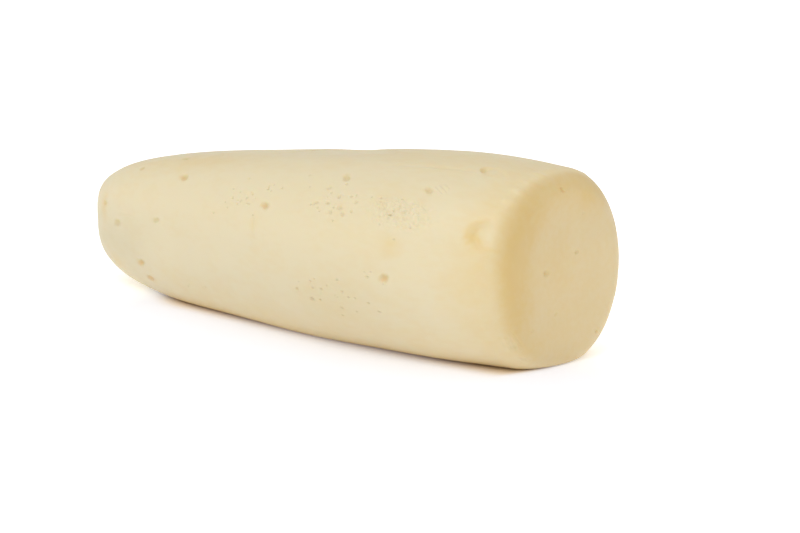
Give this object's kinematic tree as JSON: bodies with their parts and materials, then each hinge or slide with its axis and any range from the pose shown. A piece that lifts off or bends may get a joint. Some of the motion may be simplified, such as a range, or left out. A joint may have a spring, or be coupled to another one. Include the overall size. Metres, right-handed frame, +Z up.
{
  "type": "log-shaped mozzarella block",
  "caption": "Whole mozzarella block in a rounded log shape, tapering from a nearly flat end to a blunt domed end, lying on its side.",
  "frame": {"origin": "on the surface that the block rests on, under the middle of its bounding box", "axes": "+X along the block towards its nearly flat end, +Z up"},
  "size_m": [0.2496, 0.0796, 0.0726],
  "materials": {
    "cheese": "ivory pulled curd with a soft moist sheen, small dimples and pinholes"
  },
  "bodies": {
    "root": {"mozzarella_loaf": "cheese"}
  },
  "joints": []
}
